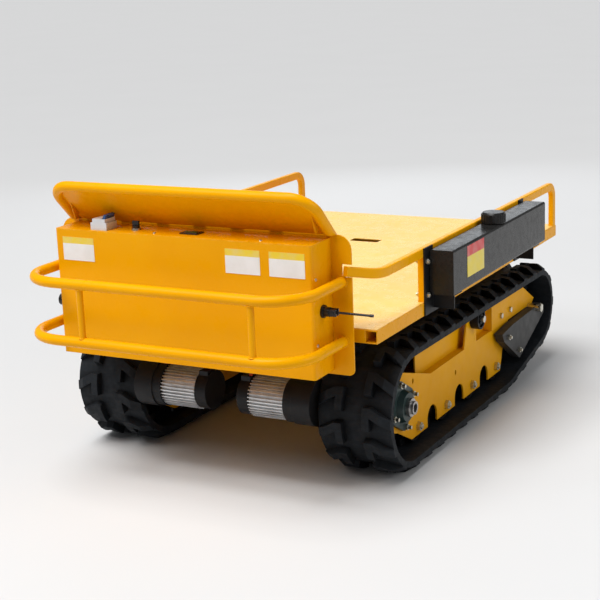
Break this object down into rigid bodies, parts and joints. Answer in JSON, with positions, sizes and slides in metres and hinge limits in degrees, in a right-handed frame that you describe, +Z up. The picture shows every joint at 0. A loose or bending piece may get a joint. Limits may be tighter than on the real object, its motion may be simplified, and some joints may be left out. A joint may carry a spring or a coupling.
{
  "type": "tracked platform cart",
  "caption": "Battery-powered tracked platform cart with a flat load deck, side rails, control box, bumper and fluid tank.",
  "frame": {"origin": "on the ground, at the middle of the whole machine's length and width", "axes": "+Y along the deck away from the control box, +X to the tank side, +Z up"},
  "size_m": [1.2135, 1.992, 0.9383],
  "materials": {
    "yellow_paint": "gloss",
    "deck_paint": "satin",
    "track_rubber": "matte",
    "black_paint": "satin",
    "zinc_steel": "satin",
    "dark_steel": "satin",
    "green_casting": "satin",
    "tank_plastic": "satin",
    "black_plastic": "gloss",
    "white_plastic": "satin",
    "blue_plastic": "gloss",
    "card": "satin",
    "aluminium": "cast",
    "battery_case": "satin",
    "cable_cover": "satin"
  },
  "bodies": {
    "chassis": {"deck_side_tubes": "yellow_paint", "deck_cross_tubes": "yellow_paint", "deck_plate": "deck_paint", "left_rail": "yellow_paint", "right_rail": "yellow_paint", "rail_posts": "yellow_paint", "backplate": "yellow_paint", "control_box_case": "yellow_paint", "control_box_lid": "yellow_paint", "case_screws": "zinc_steel", "notice_plates": "card", "breaker_body": "white_plastic", "selector_base": "zinc_steel", "battery_gauge": "black_plastic", "charge_port": "black_plastic", "antenna_base": "black_plastic", "control_hood": "yellow_paint", "bumper": "yellow_paint", "tank": "tank_plastic", "tank_brackets": "black_paint", "bracket_bolts": "zinc_steel", "battery_pack": "battery_case", "motor_controller": "aluminium", "motor_cables": "cable_cover", "cross_beams": "yellow_paint", "right_track_belt": "track_rubber", "left_track_belt": "track_rubber", "right_outer_plate": "yellow_paint", "left_outer_plate": "yellow_paint", "right_track_beam": "yellow_paint", "left_track_beam": "yellow_paint", "bearing_housings": "green_casting", "axles": "dark_steel", "idler_arms": "dark_steel", "frame_bolts": "zinc_steel", "right_motor": "aluminium", "left_motor": "aluminium", "motor_ends": "black_paint", "right_gearbox": "black_paint", "left_gearbox": "black_paint"},
    "right_drive": {"right_drive_shaft": "zinc_steel", "right_sprocket": "black_paint"},
    "right_roller_1_wheel": {"right_roller_1": "black_paint"},
    "right_roller_2_wheel": {"right_roller_2": "black_paint"},
    "right_roller_3_wheel": {"right_roller_3": "black_paint"},
    "right_roller_4_wheel": {"right_roller_4": "black_paint"},
    "right_carrier_wheel": {"right_carrier_roller": "black_paint"},
    "right_idler": {"right_idler_wheel": "black_paint"},
    "left_drive": {"left_drive_shaft": "zinc_steel", "left_sprocket": "black_paint"},
    "left_roller_1_wheel": {"left_roller_1": "black_paint"},
    "left_roller_2_wheel": {"left_roller_2": "black_paint"},
    "left_roller_3_wheel": {"left_roller_3": "black_paint"},
    "left_roller_4_wheel": {"left_roller_4": "black_paint"},
    "left_carrier_wheel": {"left_carrier_roller": "black_paint"},
    "left_idler": {"left_idler_wheel": "black_paint"},
    "breaker_toggle": {"breaker_lever": "blue_plastic"},
    "selector": {"selector_knob": "black_plastic"},
    "antenna": {"antenna_rod": "black_plastic"},
    "filler_cap": {"tank_cap": "tank_plastic"}
  },
  "joints": [
    {"name": "right_drive_turn", "type": "hinge", "parent": "chassis", "child": "right_drive", "pos_m": [0.4086, -0.412, 0.207], "axis": [1, 0, 0], "continuous": true},
    {"name": "right_roller_1_wheel_turn", "type": "hinge", "parent": "chassis", "child": "right_roller_1_wheel", "pos_m": [0.4086, -0.26584, 0.0944], "axis": [1, 0, 0], "continuous": true},
    {"name": "right_roller_2_wheel_turn", "type": "hinge", "parent": "chassis", "child": "right_roller_2_wheel", "pos_m": [0.4086, -0.03056, 0.0944], "axis": [1, 0, 0], "continuous": true},
    {"name": "right_roller_3_wheel_turn", "type": "hinge", "parent": "chassis", "child": "right_roller_3_wheel", "pos_m": [0.4086, 0.20472, 0.0944], "axis": [1, 0, 0], "continuous": true},
    {"name": "right_roller_4_wheel_turn", "type": "hinge", "parent": "chassis", "child": "right_roller_4_wheel", "pos_m": [0.4086, 0.44, 0.0944], "axis": [1, 0, 0], "continuous": true},
    {"name": "right_carrier_wheel_turn", "type": "hinge", "parent": "chassis", "child": "right_carrier_wheel", "pos_m": [0.4086, 0.223, 0.32815], "axis": [1, 0, 0], "continuous": true},
    {"name": "right_idler_turn", "type": "hinge", "parent": "chassis", "child": "right_idler", "pos_m": [0.4086, 0.78, 0.234], "axis": [1, 0, 0], "continuous": true},
    {"name": "left_drive_turn", "type": "hinge", "parent": "chassis", "child": "left_drive", "pos_m": [-0.4834, -0.412, 0.207], "axis": [1, 0, 0], "continuous": true},
    {"name": "left_roller_1_wheel_turn", "type": "hinge", "parent": "chassis", "child": "left_roller_1_wheel", "pos_m": [-0.4834, -0.26584, 0.0944], "axis": [1, 0, 0], "continuous": true},
    {"name": "left_roller_2_wheel_turn", "type": "hinge", "parent": "chassis", "child": "left_roller_2_wheel", "pos_m": [-0.4834, -0.03056, 0.0944], "axis": [1, 0, 0], "continuous": true},
    {"name": "left_roller_3_wheel_turn", "type": "hinge", "parent": "chassis", "child": "left_roller_3_wheel", "pos_m": [-0.4834, 0.20472, 0.0944], "axis": [1, 0, 0], "continuous": true},
    {"name": "left_roller_4_wheel_turn", "type": "hinge", "parent": "chassis", "child": "left_roller_4_wheel", "pos_m": [-0.4834, 0.44, 0.0944], "axis": [1, 0, 0], "continuous": true},
    {"name": "left_carrier_wheel_turn", "type": "hinge", "parent": "chassis", "child": "left_carrier_wheel", "pos_m": [-0.4834, 0.223, 0.32815], "axis": [1, 0, 0], "continuous": true},
    {"name": "left_idler_turn", "type": "hinge", "parent": "chassis", "child": "left_idler", "pos_m": [-0.4834, 0.78, 0.234], "axis": [1, 0, 0], "continuous": true},
    {"name": "breaker_toggle_tilt", "type": "hinge", "parent": "chassis", "child": "breaker_toggle", "pos_m": [-0.30808, -0.783, 0.816], "axis": [0, 1, 0], "range_deg": [-50, 0]},
    {"name": "selector_turn", "type": "hinge", "parent": "chassis", "child": "selector", "pos_m": [-0.2134, -0.77, 0.8], "axis": [0, 0, 1], "range_deg": [-45, 45]},
    {"name": "antenna_tilt", "type": "hinge", "parent": "chassis", "child": "antenna", "pos_m": [0.4386, -0.762, 0.589], "axis": [0, -1, 0], "range_deg": [-45, 60]},
    {"name": "filler_cap_turn", "type": "hinge", "parent": "chassis", "child": "filler_cap", "pos_m": [0.5636, 0.185, 0.685], "axis": [0, 0, 1], "range_deg": [0, 360]}
  ],
  "couplings": [
    {"joint": "right_roller_1_wheel_turn", "follows": "right_drive_turn", "ratio": 3.1731},
    {"joint": "right_roller_2_wheel_turn", "follows": "right_drive_turn", "ratio": 3.1731},
    {"joint": "right_roller_3_wheel_turn", "follows": "right_drive_turn", "ratio": 3.1731},
    {"joint": "right_roller_4_wheel_turn", "follows": "right_drive_turn", "ratio": 3.1731},
    {"joint": "right_carrier_wheel_turn", "follows": "right_drive_turn", "ratio": 4.5833},
    {"joint": "right_idler_turn", "follows": "right_drive_turn", "ratio": 1.3306},
    {"joint": "left_roller_1_wheel_turn", "follows": "left_drive_turn", "ratio": 3.1731},
    {"joint": "left_roller_2_wheel_turn", "follows": "left_drive_turn", "ratio": 3.1731},
    {"joint": "left_roller_3_wheel_turn", "follows": "left_drive_turn", "ratio": 3.1731},
    {"joint": "left_roller_4_wheel_turn", "follows": "left_drive_turn", "ratio": 3.1731},
    {"joint": "left_carrier_wheel_turn", "follows": "left_drive_turn", "ratio": 4.5833},
    {"joint": "left_idler_turn", "follows": "left_drive_turn", "ratio": 1.3306}
  ]
}
